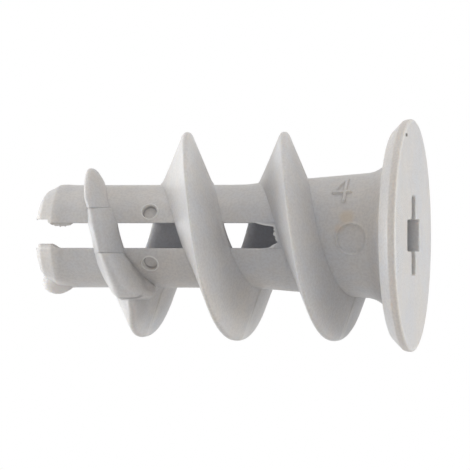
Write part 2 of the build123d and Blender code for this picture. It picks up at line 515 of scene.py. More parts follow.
@dataclass(frozen=True)
class Leg(Piece):
    """One of the two legs: a slice of the hollow core, chamfered twice at the tip.

    The swell is the little by which the leg stands out further than the shank, from the neck on.
    """

    side: Side
    swell: float
    pin_mark: RoundMark
    foot: float = 7.0
    cover: float = 0.005
    bevel_start: float = 20.93
    bevel_radius: float = 2.64
    bevel_end: float = 21.67
    end_radius: float = 2.2
    bump_place: float = 20.6
    bump_height: float = 0.035
    bump_reach: float = 0.35
    swell_start: float = 8.0
    swell_full: float = 11.0
    corner: float = 0.13
    inner_corner: float = 0.2
    relief_depth: float = 0.21
    relief_start: float = 21.16
    lip_height: float = 0.26
    lip_foot: float = 20.36
    lip_start: float = 20.96
    lip_inner: float = 2.2

    def outer_radius(self, height: np.ndarray) -> np.ndarray:
        """Outside of the leg: the shank's radius, then the two chamfers.

        Each value is the mean of the profile a little below and above it, which rounds the corners.

        Args:
            height: Heights above the head's face.

        Returns:
            Array of the same shape.
        """
        core = self.shank.core_radius
        keys = (self.bevel_start, self.bevel_end, self.shank.length)
        values = (0.0, self.bevel_radius - core, self.end_radius - core)
        reach = 0.07
        steps = np.linspace(-reach, reach, 9)
        chamfer = np.mean([np.interp(height + step, keys, values) for step in steps], axis=0)
        bump = self.bump_height * np.exp(-(((height - self.bump_place) / self.bump_reach) ** 2))
        swollen = self.swell * smooth_step(height, self.swell_start, self.swell_full)
        return self.shank.outside(height) + self.cover + chamfer + bump + swollen

    def heights(self) -> np.ndarray:
        """Gives the heights of the leg's sections, close together where there is detail.

        Returns:
            Heights above the head's face, from the foot to the tip's end.
        """
        around = 0.7
        mark, length = self.pin_mark.height, self.shank.length
        cuts = (self.foot, mark - around, mark + around, self.lip_foot - 0.1, length - self.corner * 1.3)
        counts = (28, 64, 20, 44)
        runs = [np.linspace(*ends, endpoint=False) for ends in zip(cuts, cuts[1:], counts)]
        turn = np.linspace(-0.3, math.pi / 2.0, 9)
        return np.concatenate((*runs, length - self.corner * (1.0 - np.sin(turn)), (length,)))

    def points(self) -> np.ndarray:
        """Gives one outline per height: outer arc, wall, bore arc and wall again.

        The outer arc is R (cos a, sin a) with a from asin(w / R) to pi - asin(w / R), w the wall's distance
        from the axis; the bore arc runs back in the same way at the bore's radius. Near the tip's end the
        outline moves inwards along a quarter circle, which rounds the end's edge.

        Returns:
            Array (row, column, 3), in millimetres.
        """
        height = self.heights()[:, None]
        radius = self.outer_radius(height)
        bore = self.shank.inside(height)
        first = self.side is Side.FIRST
        wall = np.full_like(height, self.shank.slot_half)
        sharp, soft = 0.03, 0.08
        if first:
            start = self.relief_start
            wall += self.relief_depth * smooth_step(height, start - sharp, start + sharp)
        outer_start = np.arcsin(wall / radius)
        marked, evenly = 0.22, open_shares(84)
        share = np.concatenate((marked * evenly, marked + (1.0 - marked) * evenly), axis=1)
        arc = outer_start + (math.pi - 2.0 * outer_start) * share
        reach = radius + self.pin_mark.relief(arc, height, radius)
        below_one, end_inset = 0.999, 0.03
        bore_start = np.arcsin(np.minimum(wall / bore, below_one))
        edge_out, edge_in = radius * np.cos(outer_start), bore * np.cos(bore_start)
        back = -edge_out + (edge_out - edge_in) * open_shares(26)
        inner = math.pi - bore_start - (math.pi - 2.0 * bore_start) * open_shares(40)
        front = edge_in + (edge_out - edge_in) * open_shares(30)
        lip = np.zeros_like(front)
        if not first:
            lip = self.lip_height * smooth_step(height, self.lip_foot, self.lip_start)
            lip = lip * smooth_step(front, self.lip_inner - soft, self.lip_inner + soft)
        x = np.concatenate((reach * np.cos(arc), back, bore * np.cos(inner), front), axis=1)
        side_wall = np.broadcast_to(wall, back.shape)
        y = np.concatenate((reach * np.sin(arc), side_wall, bore * np.sin(inner), wall - lip), axis=1)
        outline = soften(np.stack((x, y), axis=-1), 2)
        tangent = np.roll(outline, -1, axis=1) - np.roll(outline, 1, axis=1)
        normal = np.stack((-tangent[..., 1], tangent[..., 0]), axis=-1)
        normal /= np.linalg.norm(normal, axis=-1, keepdims=True) + 1e-9
        near_end = np.clip((height - self.shank.length + self.corner) / self.corner, 0.0, 1.0)
        inset = self.corner * (1.0 - np.sqrt(1.0 - near_end**2))
        inset[-1] += end_inset
        outside = np.arange(outline.shape[1]) < arc.shape[1]
        amount = soften(np.where(outside, 1.0, self.inner_corner)[None, :, None], 12)[..., 0]
        outline = outline + normal * (inset * amount)[..., None]
        across = outline[..., 1] * self.side.value
        return np.stack((across, -outline[..., 0], np.broadcast_to(height, across.shape)), axis=-1)


@dataclass(frozen=True)
class Flight(Piece):
    """Deep helical flight that bridges the slot, with softly rounded crest and roots.

    Each row of the growth table has an angle, the crest's radius, the widths of the foot towards the tip and
    towards the head as shares, and the crest's shift along the axis. The feet are corners at a radius, with
    their offset from the root's edge.
    """

    lead: float = 5.765
    place: float = 11.9
    bias: float = 0.05
    root_width: float = 2.60
    crest_width: float = 0.25
    parting_width: float = 0.36
    low_parting: float = 0.5
    top_width: float = 0.12
    rounding: float = 0.2
    back_width: float = 0.11
    low_crest: float = 0.045
    seam_step: float = 0.09
    start_deg: float = 318.0
    end_deg: float = -540.0
    runout_deg: float = 50.0
    step_deg: float = 2.5
    growth: tuple[Row, ...] = (
        (318.0, 4.06, 0.64, 0.82, -0.66),
        (310.0, 4.58, 0.70, 0.86, -0.60),
        (300.0, 5.10, 0.78, 0.90, -0.49),
        (288.0, 5.58, 0.89, 0.93, -0.20),
        (279.0, 5.78, 0.97, 0.94, -0.08),
        (270.0, 5.86, 1.00, 0.95, -0.04),
        (235.0, 5.93, 1.00, 0.98, 0.00),
        (200.0, 6.05, 1.00, 1.00, 0.00),
    )
    tip_foot: tuple[Row, ...] = (
        (2.45, -0.52),
        (2.52, -0.20),
        (2.67, 0.02),
        (2.89, 0.11),
        (3.01, 0.10),
        (3.18, -0.05),
    )
    head_foot: tuple[Row, ...] = ((2.45, -0.10), (3.18, 0.05), (3.01, -0.10))
    counts: tuple[int, ...] = (30, 5, 5, 5, 3, 4, 40, 4, 4, 4, 40, 4, 6)

    def angles(self) -> np.ndarray:
        """Gives the angles of the sections, close together where the mould's halves met.

        Returns:
            Angles in degrees, from the start to the end.
        """
        count = int(round((self.start_deg - self.end_deg) / self.step_deg)) + 1
        seams = np.arange(-450.0, 300.0, 180.0)[:, None] + np.linspace(-3.6, 3.6, 19)[None, :]
        every = np.concatenate((np.linspace(self.start_deg, self.end_deg, count), seams.ravel()))
        return np.unique(np.round(every, 3))[::-1]

    def points(self) -> np.ndarray:
        """Carries one rounded outline along the helix.

        The crest's height is place + lead * turns + a small sway, so that the front half turns are steeper.

        Returns:
            Array (row, column, 3), in millimetres.
        """
        angle = self.angles()
        line = self.place + self.lead * angle / 360.0 + self.bias * np.sin(np.radians(angle))
        crest, tip_share, head_share, shift = read_table(self.growth, angle)
        core = self.shank.core_radius
        flat_deg = self.end_deg - 4.0
        crest = core + (crest - core) * smooth_step(angle, flat_deg, self.end_deg + self.runout_deg)
        across, along = np.sin(np.radians(angle)), np.cos(np.radians(angle))
        crest = crest + self.low_crest * (1.0 - across)
        parting = self.parting_width * across**2
        root = (self.root_width + parting) / 2.0 * tip_share + self.back_width * np.clip(-along, 0.0, None)
        low = (self.root_width + self.low_parting * parting) / 2.0 * head_share
        behind = smooth_step(-along, 0.03, 0.05)
        low = low + self.top_width * np.clip(across, 0.0, None) + self.seam_step * (behind - 1.0) * across**2
        top = line + shift
        half = (self.crest_width + parting) / 2.0
        shoulder = crest - self.rounding
        inmost, *head_foot = [(radius, line - low + offset) for radius, offset in self.head_foot]
        corners = stacked(
            inmost,
            *((radius, line + root + offset) for radius, offset in self.tip_foot),
            (shoulder, top + half),
            (crest, top + half * 0.5),
            (crest, top - half * 0.5),
            (shoulder, top - half),
            *head_foot,
        )
        outline = soften(spread(corners, self.counts), 3)
        return turned(outline[..., 0], np.radians(angle)[:, None], outline[..., 1])


@dataclass(frozen=True)
class Cutter(Piece):
    """Part of the first turn that cuts: a ridge and a shoulder on the core, read from stations.

    Each station has its place, then the tip's side root, the ridge with its radius, the shoulder with its
    radius and the head's side root. Heights are above the head's face.
    """

    stations: tuple[Row, ...]
    counts: tuple[int, ...]
    rounds: int
    sunk: float = 0.6

    def outlines(self, core: np.ndarray | float, *columns: np.ndarray) -> np.ndarray:
        """Gives the rounded outlines.

        Args:
            core: Distance of both roots from the axis.
            *columns: The stations' columns after the place, with distances for the radii.

        Returns:
            Array (outline, point, 2).
        """
        tip_root, ridge, ridge_away, shoulder, shoulder_away, head_root = columns
        corners = stacked(
            (core - self.sunk, head_root),
            (core - self.sunk, tip_root),
            (core, tip_root),
            (ridge_away, ridge),
            (shoulder_away, shoulder),
            (core, head_root),
        )
        return soften(spread(corners, self.counts), self.rounds)


@dataclass(frozen=True)
class Tooth(Cutter):
    """One tooth of the first turn, between two flat steps that face along the slot.

    The stations' places are across the slot, and a last column has the radius of both roots.
    """

    counts: tuple[int, ...] = (20, 10, 30, 20, 30, 10)
    rounds: int = 56
    edge: float = 0.05

    def points(self) -> np.ndarray:
        """Gives flat outlines across the slot, each in a plane u = constant.

        A point at radius r in the plane u lies sqrt(r^2 - u^2) in front of the axis. The outlines at both
        ends are a little lower, along a quarter circle, which rounds the steps' edges.

        Returns:
            Array (row, column, 3), in millimetres.
        """
        place = np.linspace(self.stations[0][0], self.stations[-1][0], 56)
        least_square = 0.04

        def front(radius: np.ndarray) -> np.ndarray:
            """Distance in front of the axis at a radius, in the outline's plane."""
            return np.sqrt(np.maximum(radius**2 - place**2, least_square))

        tip_root, ridge, ridge_r, shoulder, shoulder_r, head_root, root_r = read_table(self.stations, place)
        core = front(root_r)
        outline = self.outlines(core, tip_root, ridge, front(ridge_r), shoulder, front(shoulder_r), head_root)
        end = np.minimum(place - place.min(), place.max() - place)
        shrink = self.edge * (1.0 - np.sqrt(1.0 - (1.0 - np.clip(end / self.edge, 0.0, 1.0)) ** 2))
        outline[..., 0] -= shrink[:, None] * (outline[..., 0] > core[:, None])
        across = np.broadcast_to(place[:, None], outline.shape[:2])
        return np.stack((across, -outline[..., 0], outline[..., 1]), axis=-1)


@dataclass(frozen=True)
class Lug(Cutter):
    """Low rounded lug on the first leg, like the tip of a thumb, cut flat where the first tooth begins.

    The stations' places are angles in degrees.
    """

    stations: tuple[Row, ...] = (
        (112.0, 19.44, 19.28, 2.85, 18.98, 2.85, 18.80),
        (98.0, 19.64, 19.42, 3.50, 18.86, 3.46, 18.42),
        (90.0, 19.64, 19.40, 3.90, 18.84, 3.88, 18.26),
        (70.0, 19.38, 19.12, 4.16, 18.60, 4.12, 18.00),
        (45.0, 19.08, 18.76, 4.28, 18.26, 4.18, 17.66),
        (32.5, 18.88, 18.50, 4.28, 18.04, 4.14, 17.44),
    )
    counts: tuple[int, ...] = (18, 10, 24, 16, 24, 10)
    rounds: int = 60
    flat_deg: float = 40.0
    radial_deg: float = 78.0

    def points(self) -> np.ndarray:
        """Gives outlines about the axis that lean over into the plane of the flat cut.

        Near the cut a point at radius r is at the angle asin(u / r), u being the core's radius times the
        sine of the station's own angle, so that the last outline is flat; further up they are radial.

        Returns:
            Array (row, column, 3), in millimetres.
        """
        angle = np.linspace(self.stations[0][0], self.stations[-1][0], 60)
        core = self.shank.core_radius
        outline = self.outlines(core, *read_table(self.stations, angle))
        radial = np.radians(angle)[:, None]
        leaning = np.arcsin(np.clip(core * np.sin(radial) / outline[..., 0], -1.0, 1.0))
        share = (1.0 - smooth_step(angle, self.flat_deg, self.radial_deg))[:, None]
        turn = radial * (1.0 - share) + leaning * share
        return turned(outline[..., 0], turn, outline[..., 1])


@dataclass(frozen=True)
class Barb(Piece):
    """Rough lump below the tip: a drop with its thin end towards the head.

    Each key has the drop's radius and how far it is behind the tip's end.
    """

    keys: tuple[Row, ...] = (
        (0.0, 0.0),
        (0.46, 0.12),
        (0.70, 0.42),
        (0.78, 0.78),
        (0.68, 1.25),
        (0.42, 1.75),
        (0.0, 2.15),
    )
    forward: float = 0.4
    axis_radius: float = 2.68
    least_radius: float = 0.004
    waves: tuple[Row, ...] = ((0.07, 3.0, 5.0), (-0.05, 5.0, 9.0))

    def points(self) -> np.ndarray:
        """Turns the drop's outline about its own line, made uneven by two waves a sin(m angle + n share).

        Returns:
            Array (row, column, 3), in millimetres.
        """
        share = np.linspace(0.0, 1.0, 40)
        place = np.linspace(0.0, 1.0, len(self.keys))
        radius, behind = (np.interp(share, place, column) for column in np.array(self.keys).T)
        for _ in range(4):
            for line in (radius, behind):
                line[1:-1] = (line[:-2] + 2.0 * line[1:-1] + line[2:]) / 4.0
        angle = 2.0 * math.pi * open_shares(48)
        uneven = np.maximum(radius, self.least_radius)[:, None] * np.ones_like(angle)
        uneven *= 1.0 + sum(high * np.sin(m * angle + n * share[:, None]) for high, m, n in self.waves)
        x = -self.axis_radius + uneven * np.cos(angle)
        y = -self.forward + uneven * np.sin(angle)
        z = np.broadcast_to((self.shank.length - behind)[:, None], x.shape)
        return np.stack((x, y, z), axis=-1)


@dataclass(frozen=True)
class Flash(Piece):
    """Thin ragged flash along the first leg's front edge at the tip."""

    start: float = 0.94
    end: float = 2.35
    width: float = 0.2
    thickness: float = 0.22
    inset: float = 0.22
    rooted: float = 0.1
    edge: float = 0.06

    def points(self) -> np.ndarray:
        """Gives a strip whose free edge stands out by width sqrt(sin(pi t)), with small waves.

        Returns:
            Array (row, column, 3), in millimetres.
        """
        share = np.linspace(0.0, 1.0, 60)
        height = self.shank.length - self.start - (self.end - self.start) * share
        reach = self.width * np.sin(math.pi * share) ** 0.5
        reach = reach * (1.0 + 0.10 * np.sin(31.0 * share) + 0.07 * np.sin(57.0 * share + 1.0))
        front = math.sqrt(self.shank.core_radius**2 - self.shank.slot_half**2) - self.inset
        top = self.shank.slot_half + self.rooted
        low = self.shank.slot_half - np.maximum(reach, 0.005)
        near, far = np.full_like(share, front), np.full_like(share, front - self.thickness)
        corners = stacked(
            (near, top),
            (near, low + self.edge),
            (near - self.edge, low),
            (far + 0.08, low + 0.02),
            (far, top),
        )
        outline = soften(spread(corners, (5, 3, 4, 5, 4)), 1)
        z = np.broadcast_to(height[:, None], outline.shape[:2])
        return np.stack((outline[..., 1], -outline[..., 0], z), axis=-1)


@dataclass(frozen=True)
class TornEnd(Piece):
    """Torn skin left across the front of the slot's end, high on one side and ragged.

    Each point of the edge has its place across the slot and its height.
    """

    thickness: float = 0.5
    foot: float = 7.2
    edge: tuple[Row, ...] = (
        (-0.76, 8.50),
        (-0.70, 8.06),
        (-0.60, 7.86),
        (-0.51, 7.70),
        (-0.44, 7.48),
        (-0.14, 7.60),
        (0.11, 7.72),
        (0.28, 7.66),
        (0.45, 7.70),
        (0.53, 7.78),
        (0.58, 8.22),
        (0.63, 8.36),
        (0.68, 8.66),
        (0.76, 8.90),
    )
    waves: tuple[Row, ...] = ((0.03, 23.0, 0.0), (0.025, 41.0, 1.0), (0.015, 83.0, 0.0))

    def points(self) -> np.ndarray:
        """Gives a curved tongue whose free end is a polyline with small waves a sin(b x + c).

        Returns:
            Array (row, column, 3), in millimetres.
        """
        across = np.linspace(self.edge[0][0], self.edge[-1][0], 90)
        (end,) = read_table(self.edge, across)
        for high, often, phase in self.waves:
            end = end + high * np.sin(often * across + phase)
        radius = float(self.shank.outside(self.shank.slot_end)) - 0.01
        outer = np.sqrt(radius**2 - across**2)
        inner = outer - self.thickness
        corners = stacked(
            (outer, self.foot),
            (outer, end - 0.05),
            (outer - 0.05, end),
            (inner, end - 0.12),
            (inner, self.foot),
        )
        outline = soften(spread(corners, (10, 3, 8, 10, 8)), 1)
        x = np.broadcast_to(across[:, None], outline.shape[:2])
        return np.stack((x, -outline[..., 0], outline[..., 1]), axis=-1)


@dataclass(frozen=True)
class Anchor:
    """The whole moulded anchor, from its sub-assemblies."""

    pieces: tuple[Piece, ...] = (
        Head("head"),
        Leg("leg_first", Side.FIRST, -0.05, RoundMark(15.11, 28.0, 0.43, 0.24, 0.07, 0.040, 0.03)),
        Leg("leg_second", Side.SECOND, 0.035, RoundMark(15.11, 32.6, 0.43, 0.24, 0.07, 0.040, 0.03)),
        Flight("flight"),
        Lug("lug"),
        Tooth(
            "tooth_a",
            (
                (1.61, 18.84, 18.46, 4.14, 18.02, 4.12, 17.34, 3.0),
                (0.70, 18.74, 18.24, 4.36, 17.78, 4.30, 16.94, 3.0),
                (-0.15, 18.50, 17.98, 4.48, 17.54, 4.40, 16.72, 3.0),
                (-1.02, 18.38, 17.82, 4.54, 17.36, 4.46, 16.46, 3.0),
            ),
        ),
        Tooth(
            "tooth_b",
            (
                (-1.02, 18.36, 17.64, 4.86, 17.08, 4.66, 16.52, 3.0),
                (-1.63, 18.28, 17.42, 5.04, 16.80, 4.84, 16.08, 3.0),
                (-2.36, 18.12, 17.20, 5.16, 16.50, 5.00, 15.64, 3.0),
                (-2.94, 17.90, 17.02, 5.24, 16.20, 5.12, 15.02, 3.20),
                (-3.30, 17.52, 16.90, 5.27, 15.86, 5.18, 14.84, 3.85),
                (-3.52, 17.24, 16.78, 5.22, 15.76, 5.14, 14.96, 4.20),
                (-3.66, 17.10, 16.70, 4.98, 15.90, 4.90, 15.16, 4.30),
                (-3.74, 17.00, 16.66, 4.60, 16.00, 4.56, 15.36, 4.20),
            ),
        ),
        Barb("barb"),
        Flash("flash"),
        TornEnd("torn_end"),
    )

    def build(self, node: bpy.types.Object, material: bpy.types.Material) -> None:
        """Makes every piece in the material, and lets it stand for the CAD solid in the node."""
        for made in [piece.build(material) for piece in self.pieces]:
            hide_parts(node.name)


class Graph:
    """Node tree of a material or world, with short ways to add nodes and link them."""

    def __init__(self, owner: bpy.types.Material | bpy.types.World) -> None:
        """Takes the owner's node tree and empties it.

        Args:
            owner: Material or world that the nodes belong to.
        """
        owner.use_nodes = True
        self.tree = owner.node_tree
        self.tree.nodes.clear()

    def add(self, kind: str, inputs: dict | None = None, **settings: str) -> bpy.types.Node:
        """Adds a node.

        Args:
            kind: Type of the node.
            inputs: Socket or value for each input, by the input's name or number.
            **settings: Properties of the node, set before its inputs.

        Returns:
            The node.
        """
        node = self.tree.nodes.new(kind)
        for key, value in settings.items():
            setattr(node, key, value)
        for key, value in (inputs or {}).items():
            if isinstance(value, Socket):
                self.tree.links.new(value, node.inputs[key])
            else:
                node.inputs[key].default_value = value
        return node

    def math(self, operation: str, first: Socket, second: Socket) -> Socket:
        """Combines two amounts by an operation such as MULTIPLY."""
        return self.add("ShaderNodeMath", {0: first, 1: second}, operation=operation).outputs["Value"]

    def blend(self, amount: Socket, below: Socket, above: Socket) -> Socket:
        """Mixes two shaders by the amount of the one above."""
        return self.add("ShaderNodeMixShader", {"Fac": amount, 1: below, 2: above}).outputs["Shader"]


class Surface(Graph):
    """Node tree of a material whose patterns read Object coordinates."""

    def __init__(self, material: bpy.types.Material) -> None:
        """Empties the material's node tree and adds the coordinates."""
        super().__init__(material)
        self.place = self.add("ShaderNodeTexCoord").outputs["Object"]

    @cached_property
    def measures(self) -> dict[Along, Socket]:
        """Adds the nodes for the measures that tints depend on, when they are first wanted.

        Returns:
            Each measure's socket, in metres.
        """
        parts = self.add("ShaderNodeSeparateXYZ", {0: self.place}).outputs
        radius = self.length(self.vector("MULTIPLY", self.place, (1.0, 1.0, 0.0)))
        return {Along.RADIUS: radius, Along.HEIGHT: parts["Z"], Along.DEPTH: parts["Y"]}

    def vector(
        self, operation: str, first: Socket, second: Socket | Triple, result: str = "Vector"
    ) -> Socket:
        """Combines a vector with another one or a fixed one, and gives the node's Vector or Value."""
        return self.add("ShaderNodeVectorMath", {0: first, 1: second}, operation=operation).outputs[result]

    def length(self, vector: Socket) -> Socket:
        """Length of a vector."""
        return self.add("ShaderNodeVectorMath", {0: vector}, operation="LENGTH").outputs["Value"]

    def distance(self, place_mm: Triple) -> Socket:
        """Distance from a fixed place."""
        return self.vector("DISTANCE", self.place, tuple(value * MM for value in place_mm), "Value")

    def ramp(self, value: Socket, start: float, end: float, first: float, last: float) -> Socket:
        """Goes smoothly from the first amount where the value is start to the last where it is end."""
        inputs = {"Value": value, "From Min": start, "From Max": end, "To Min": first, "To Max": last}
        return self.add("ShaderNodeMapRange", inputs, interpolation_type="SMOOTHSTEP").outputs["Result"]

    def mixed(self, below: Socket, colour: Triple, amount: Socket) -> Socket:
        """Lays a colour over another one.

        Args:
            below: Colour underneath.
            colour: Colour laid over it.
            amount: Share of the upper colour, 0 to 1.

        Returns:
            The mixed colour's socket.
        """
        node = self.add("ShaderNodeMix", {"Factor": amount}, data_type="RGBA")
        first, second = (socket for socket in node.inputs if socket.type == "RGBA")
        self.tree.links.new(below, first)
        second.default_value = (*colour, 1.0)
        return next(socket for socket in node.outputs if socket.type == "RGBA")

    def noise(
        self, scale: float, detail: float, roughness: float = 0.5, place: Socket | None = None
    ) -> Socket:
        """Gives a noise, 0 to 1, that reads the Object coordinates or another place."""
        inputs = {"Vector": place or self.place, "Scale": scale, "Detail": detail, "Roughness": roughness}
        return self.add("ShaderNodeTexNoise", inputs).outputs["Fac"]

    def bump(self, height: Socket, depth_mm: float, strength: float, normal: Socket | None = None) -> Socket:
        """Bends the normal by a height.

        Args:
            height: The height, 0 to 1.
            depth_mm: Depth that the height stands for.
            strength: Share of the bend.
            normal: Normal that is bent, if it isn't the surface's own.

        Returns:
            The bent normal.
        """
        inputs = {"Height": height, "Distance": depth_mm * MM, "Strength": strength}
        if normal is not None:
            inputs["Normal"] = normal
        return self.add("ShaderNodeBump", inputs).outputs["Normal"]


class Mark(ABC):
    """Colour laid over a part of the surface."""

    colour: Triple

    @abstractmethod
    def amount(self, surface: Surface) -> Socket:
        """Gives the mark's strength over the surface, 0 to 1."""

    def lay(self, surface: Surface, below: Socket) -> Socket:
        """Lays the mark over the colour below it."""
        return surface.mixed(below, self.colour, self.amount(surface))


@dataclass(frozen=True)
class Spot(Mark):
    """Small round patch, a stain, a speck, or painted light or shade: full strength inside the inner radius,
    none outside the outer one.
    """

    place_mm: Triple
    inner_mm: float
    outer_mm: float
    colour: Triple
    strength: float

    def amount(self, surface: Surface) -> Socket:
        """Falls off with the distance from the middle."""
        away = surface.distance(self.place_mm)
        return surface.ramp(away, self.inner_mm * MM, self.outer_mm * MM, self.strength, 0.0)


@dataclass(frozen=True)
class Crease(Mark):
    """Soft line on the surface between two places: painted shade in a crease, or a paler line along a torn
    edge.
    """

    start_mm: Triple
    end_mm: Triple
    inner_mm: float
    outer_mm: float
    colour: Triple
    strength: float

    def amount(self, surface: Surface) -> Socket:
        """Falls off with the distance from the line.

        The distance from a to b is the length of w - (b - a) t, with w the offset from a and t the share
        (w . (b - a)) / |b - a|^2 held between 0 and 1.

        Args:
            surface: Node tree of the material.

        Returns:
            The strength's socket.
        """
        start = np.array(self.start_mm) * MM
        along = np.array(self.end_mm) * MM - start
        offset = surface.vector("SUBTRACT", surface.place, tuple(start))
        share = surface.vector("DOT_PRODUCT", offset, tuple(along / float(along @ along)), "Value")
        held = surface.add("ShaderNodeClamp", {"Value": share}).outputs["Result"]
        scaled = {0: tuple(along), "Scale": held}
        reach = surface.add("ShaderNodeVectorMath", scaled, operation="SCALE").outputs["Vector"]
        away = surface.vector("DISTANCE", offset, reach, "Value")
        return surface.ramp(away, self.inner_mm * MM, self.outer_mm * MM, self.strength, 0.0)


@dataclass(frozen=True)
class Ring(Mark):
    """Thin soft ring on the surface: a painted highlight on the rim of a pin mark, or painted shade just
    inside it.
    """

    place_mm: Triple
    radius_mm: float
    colour: Triple
    half_mm: float = 0.06
    strength: float = 0.75

    def amount(self, surface: Surface) -> Socket:
        """Rises up to the ring's radius and falls off beyond it.

        Args:
            surface: Node tree of the material.

        Returns:
            The strength's socket.
        """
        away = surface.distance(self.place_mm)
        inner, middle, outer = (self.radius_mm + step * self.half_mm for step in (-1, 0, 1))
        rising = surface.ramp(away, inner * MM, middle * MM, 0.0, self.strength)
        falling = surface.ramp(away, middle * MM, outer * MM, 1.0, 0.0)
        return surface.math("MULTIPLY", rising, falling)


@dataclass(frozen=True)
class Tint(Mark):
    """Tint of a region bounded by fades: a measure, two places in mm, and the strength at each of them."""

    colour: Triple
    fades: tuple[tuple[Along, float, float, float, float], ...]

    def amount(self, surface: Surface) -> Socket:
        """Multiplies the fades.

        Args:
            surface: Node tree of the material.

        Returns:
            The strength's socket.
        """
        amount = None
        for along, start_mm, end_mm, first, last in self.fades:
            fade = surface.ramp(surface.measures[along], start_mm * MM, end_mm * MM, first, last)
            amount = fade if amount is None else surface.math("MULTIPLY", amount, fade)
        return amount


@dataclass(frozen=True)
class NylonFinish:
    """Light grey moulded nylon: satin, faintly cloudy, with a fine grain left by the mould.

    The rim is warmer. The marks are laid on in their order: painted shade in the recess, darker towards its
    floor, painted bluish shade in the bore, painted light that makes the strip behind the parting plane
    paler, then creases (a dark line on the face, painted shade under and beside tooth B, paler lines along
    the torn edge), pin marks with a painted highlight on each ring and painted shade just inside it, stains,
    painted light on the barb and painted shade below tooth B.
    """

    cool: Triple = (0.655, 0.663, 0.680)
    warm: Triple = (0.728, 0.688, 0.636)
    cool_end: float = 0.36
    warm_end: float = 0.68
    gloss_range: tuple[float, float] = (0.3, 0.7)
    roughness_low: float = 0.36
    roughness_high: float = 0.50
    refractive_index: float = 1.53
    subsurface: float = 0.35
    subsurface_mm: float = 0.5
    subsurface_colour: Triple = (1.0, 0.85, 0.65)
    cloud_scale: float = 160.0
    cloud_roughness: float = 0.55
    fleck_scale: float = 1400.0
    fleck_share: float = 0.27
    speckle_scale: float = 7000.0
    speckle_colour: Triple = (0.53, 0.51, 0.50)
    speckle_range: tuple[float, float] = (0.38, 0.66)
    speckle_strength: float = 0.30
    swirl_scale: float = 900.0
    swirl_depth_mm: float = 0.030
    swirl_strength: float = 0.6
    grain_scale: float = 5200.0
    grain_depth_mm: float = 0.022
    grain_strength: float = 0.5
    streak_scale: Triple = (5200.0, 5200.0, 420.0)
    streak_depth_mm: float = 0.016
    streak_strength: float = 0.4
    rim: Tint = Tint((0.715, 0.672, 0.620), ((Along.RADIUS, 6.6, 6.72, 0.0, 0.6),))
    marks: tuple[Mark, ...] = (
        # Painted shade in the cross recess, darker towards its floor.
        Tint(
            (0.27, 0.27, 0.28),
            (
                (Along.RADIUS, 2.45, 2.6, 1.0, 0.0),
                (Along.HEIGHT, 0.10, 1.1, 0.0, 0.90),
                (Along.HEIGHT, 3.4, 3.6, 1.0, 0.0),
            ),
        ),
        # Painted bluish shade inside the bore, seen through the windows.
        Tint(
            (0.57, 0.57, 0.64),
            (
                (Along.RADIUS, 1.5, 2.3, 0.9, 0.0),
                (Along.HEIGHT, 3.4, 3.7, 0.0, 1.0),
                (Along.HEIGHT, 19.6, 21.2, 1.0, 0.0),
            ),
        ),
        # Painted light: the strip just behind the parting plane is made paler.
        Tint(
            (0.83, 0.82, 0.80),
            (
                (Along.DEPTH, 0.0, 0.05, 0.0, 0.45),
                (Along.DEPTH, 0.20, 0.95, 1.0, 0.0),
                (Along.HEIGHT, 1.2, 1.6, 0.0, 1.0),
                (Along.RADIUS, 3.9, 4.6, 0.0, 1.0),
                (Along.RADIUS, 5.95, 6.1, 1.0, 0.0),
            ),
        ),
        Crease((5.78, -2.98, 0.0), (5.78, -2.46, 0.0), 0.05, 0.13, (0.12, 0.11, 0.10), 0.95),
        # Painted shadow under tooth B's end, then painted shade along the valley beside B.
        Crease((-3.74, -3.45, 16.60), (-3.62, -3.15, 14.90), 0.10, 0.30, PAINTED_SHADE, 0.85),
        Crease((-1.15, -2.85, 16.55), (-1.81, -2.60, 16.15), 0.05, 0.34, PAINTED_SHADE, 0.26),
        Crease((-1.81, -2.60, 16.15), (-2.59, -2.05, 15.72), 0.05, 0.38, PAINTED_SHADE, 0.30),
        Crease((-2.59, -2.05, 15.80), (-3.00, -2.45, 15.30), 0.05, 0.36, PAINTED_SHADE, 0.24),
        Crease((0.78, -3.12, 8.90), (0.58, -3.17, 8.25), 0.05, 0.17, TORN_PALE, 0.80),
        Crease((0.58, -3.17, 8.25), (0.50, -3.19, 7.76), 0.05, 0.17, TORN_PALE, 0.80),
        Crease((0.50, -3.19, 7.76), (-0.31, -3.21, 7.56), 0.05, 0.17, TORN_PALE, 0.80),
        Crease((-0.31, -3.21, 7.56), (-0.62, -3.17, 7.78), 0.05, 0.17, TORN_PALE, 0.80),
        Crease((-0.62, -3.17, 7.78), (-0.80, -3.11, 8.70), 0.04, 0.14, TORN_PALE, 0.60),
        # Painted highlight on each pin mark's raised ring, and painted shade just inside it.
        Ring((1.40, -2.66, 15.08), 0.49, PAINTED_RING_HIGHLIGHT),
        Ring((1.29, -2.47, 15.09), 0.40, PAINTED_SHADE),
        Ring((-1.62, -2.57, 15.08), 0.49, PAINTED_RING_HIGHLIGHT),
        Ring((-1.50, -2.37, 15.05), 0.40, PAINTED_SHADE),
        Spot((1.07, -3.44, 3.37), 0.20, 0.62, (0.69, 0.58, 0.44), 0.55),
        Spot((0.42, -3.62, 3.78), 0.10, 0.45, (0.72, 0.58, 0.45), 0.46),
        # Painted light: a paler patch on the barb and the tip below the slot.
        Spot((-2.95, -0.70, 21.1), 0.60, 1.25, (0.93, 0.90, 0.87), 0.85),
        # Painted shade on the flight below tooth B.
        Spot((-4.35, -1.90, 15.55), 0.35, 1.30, (0.42, 0.40, 0.39), 0.34),
    )

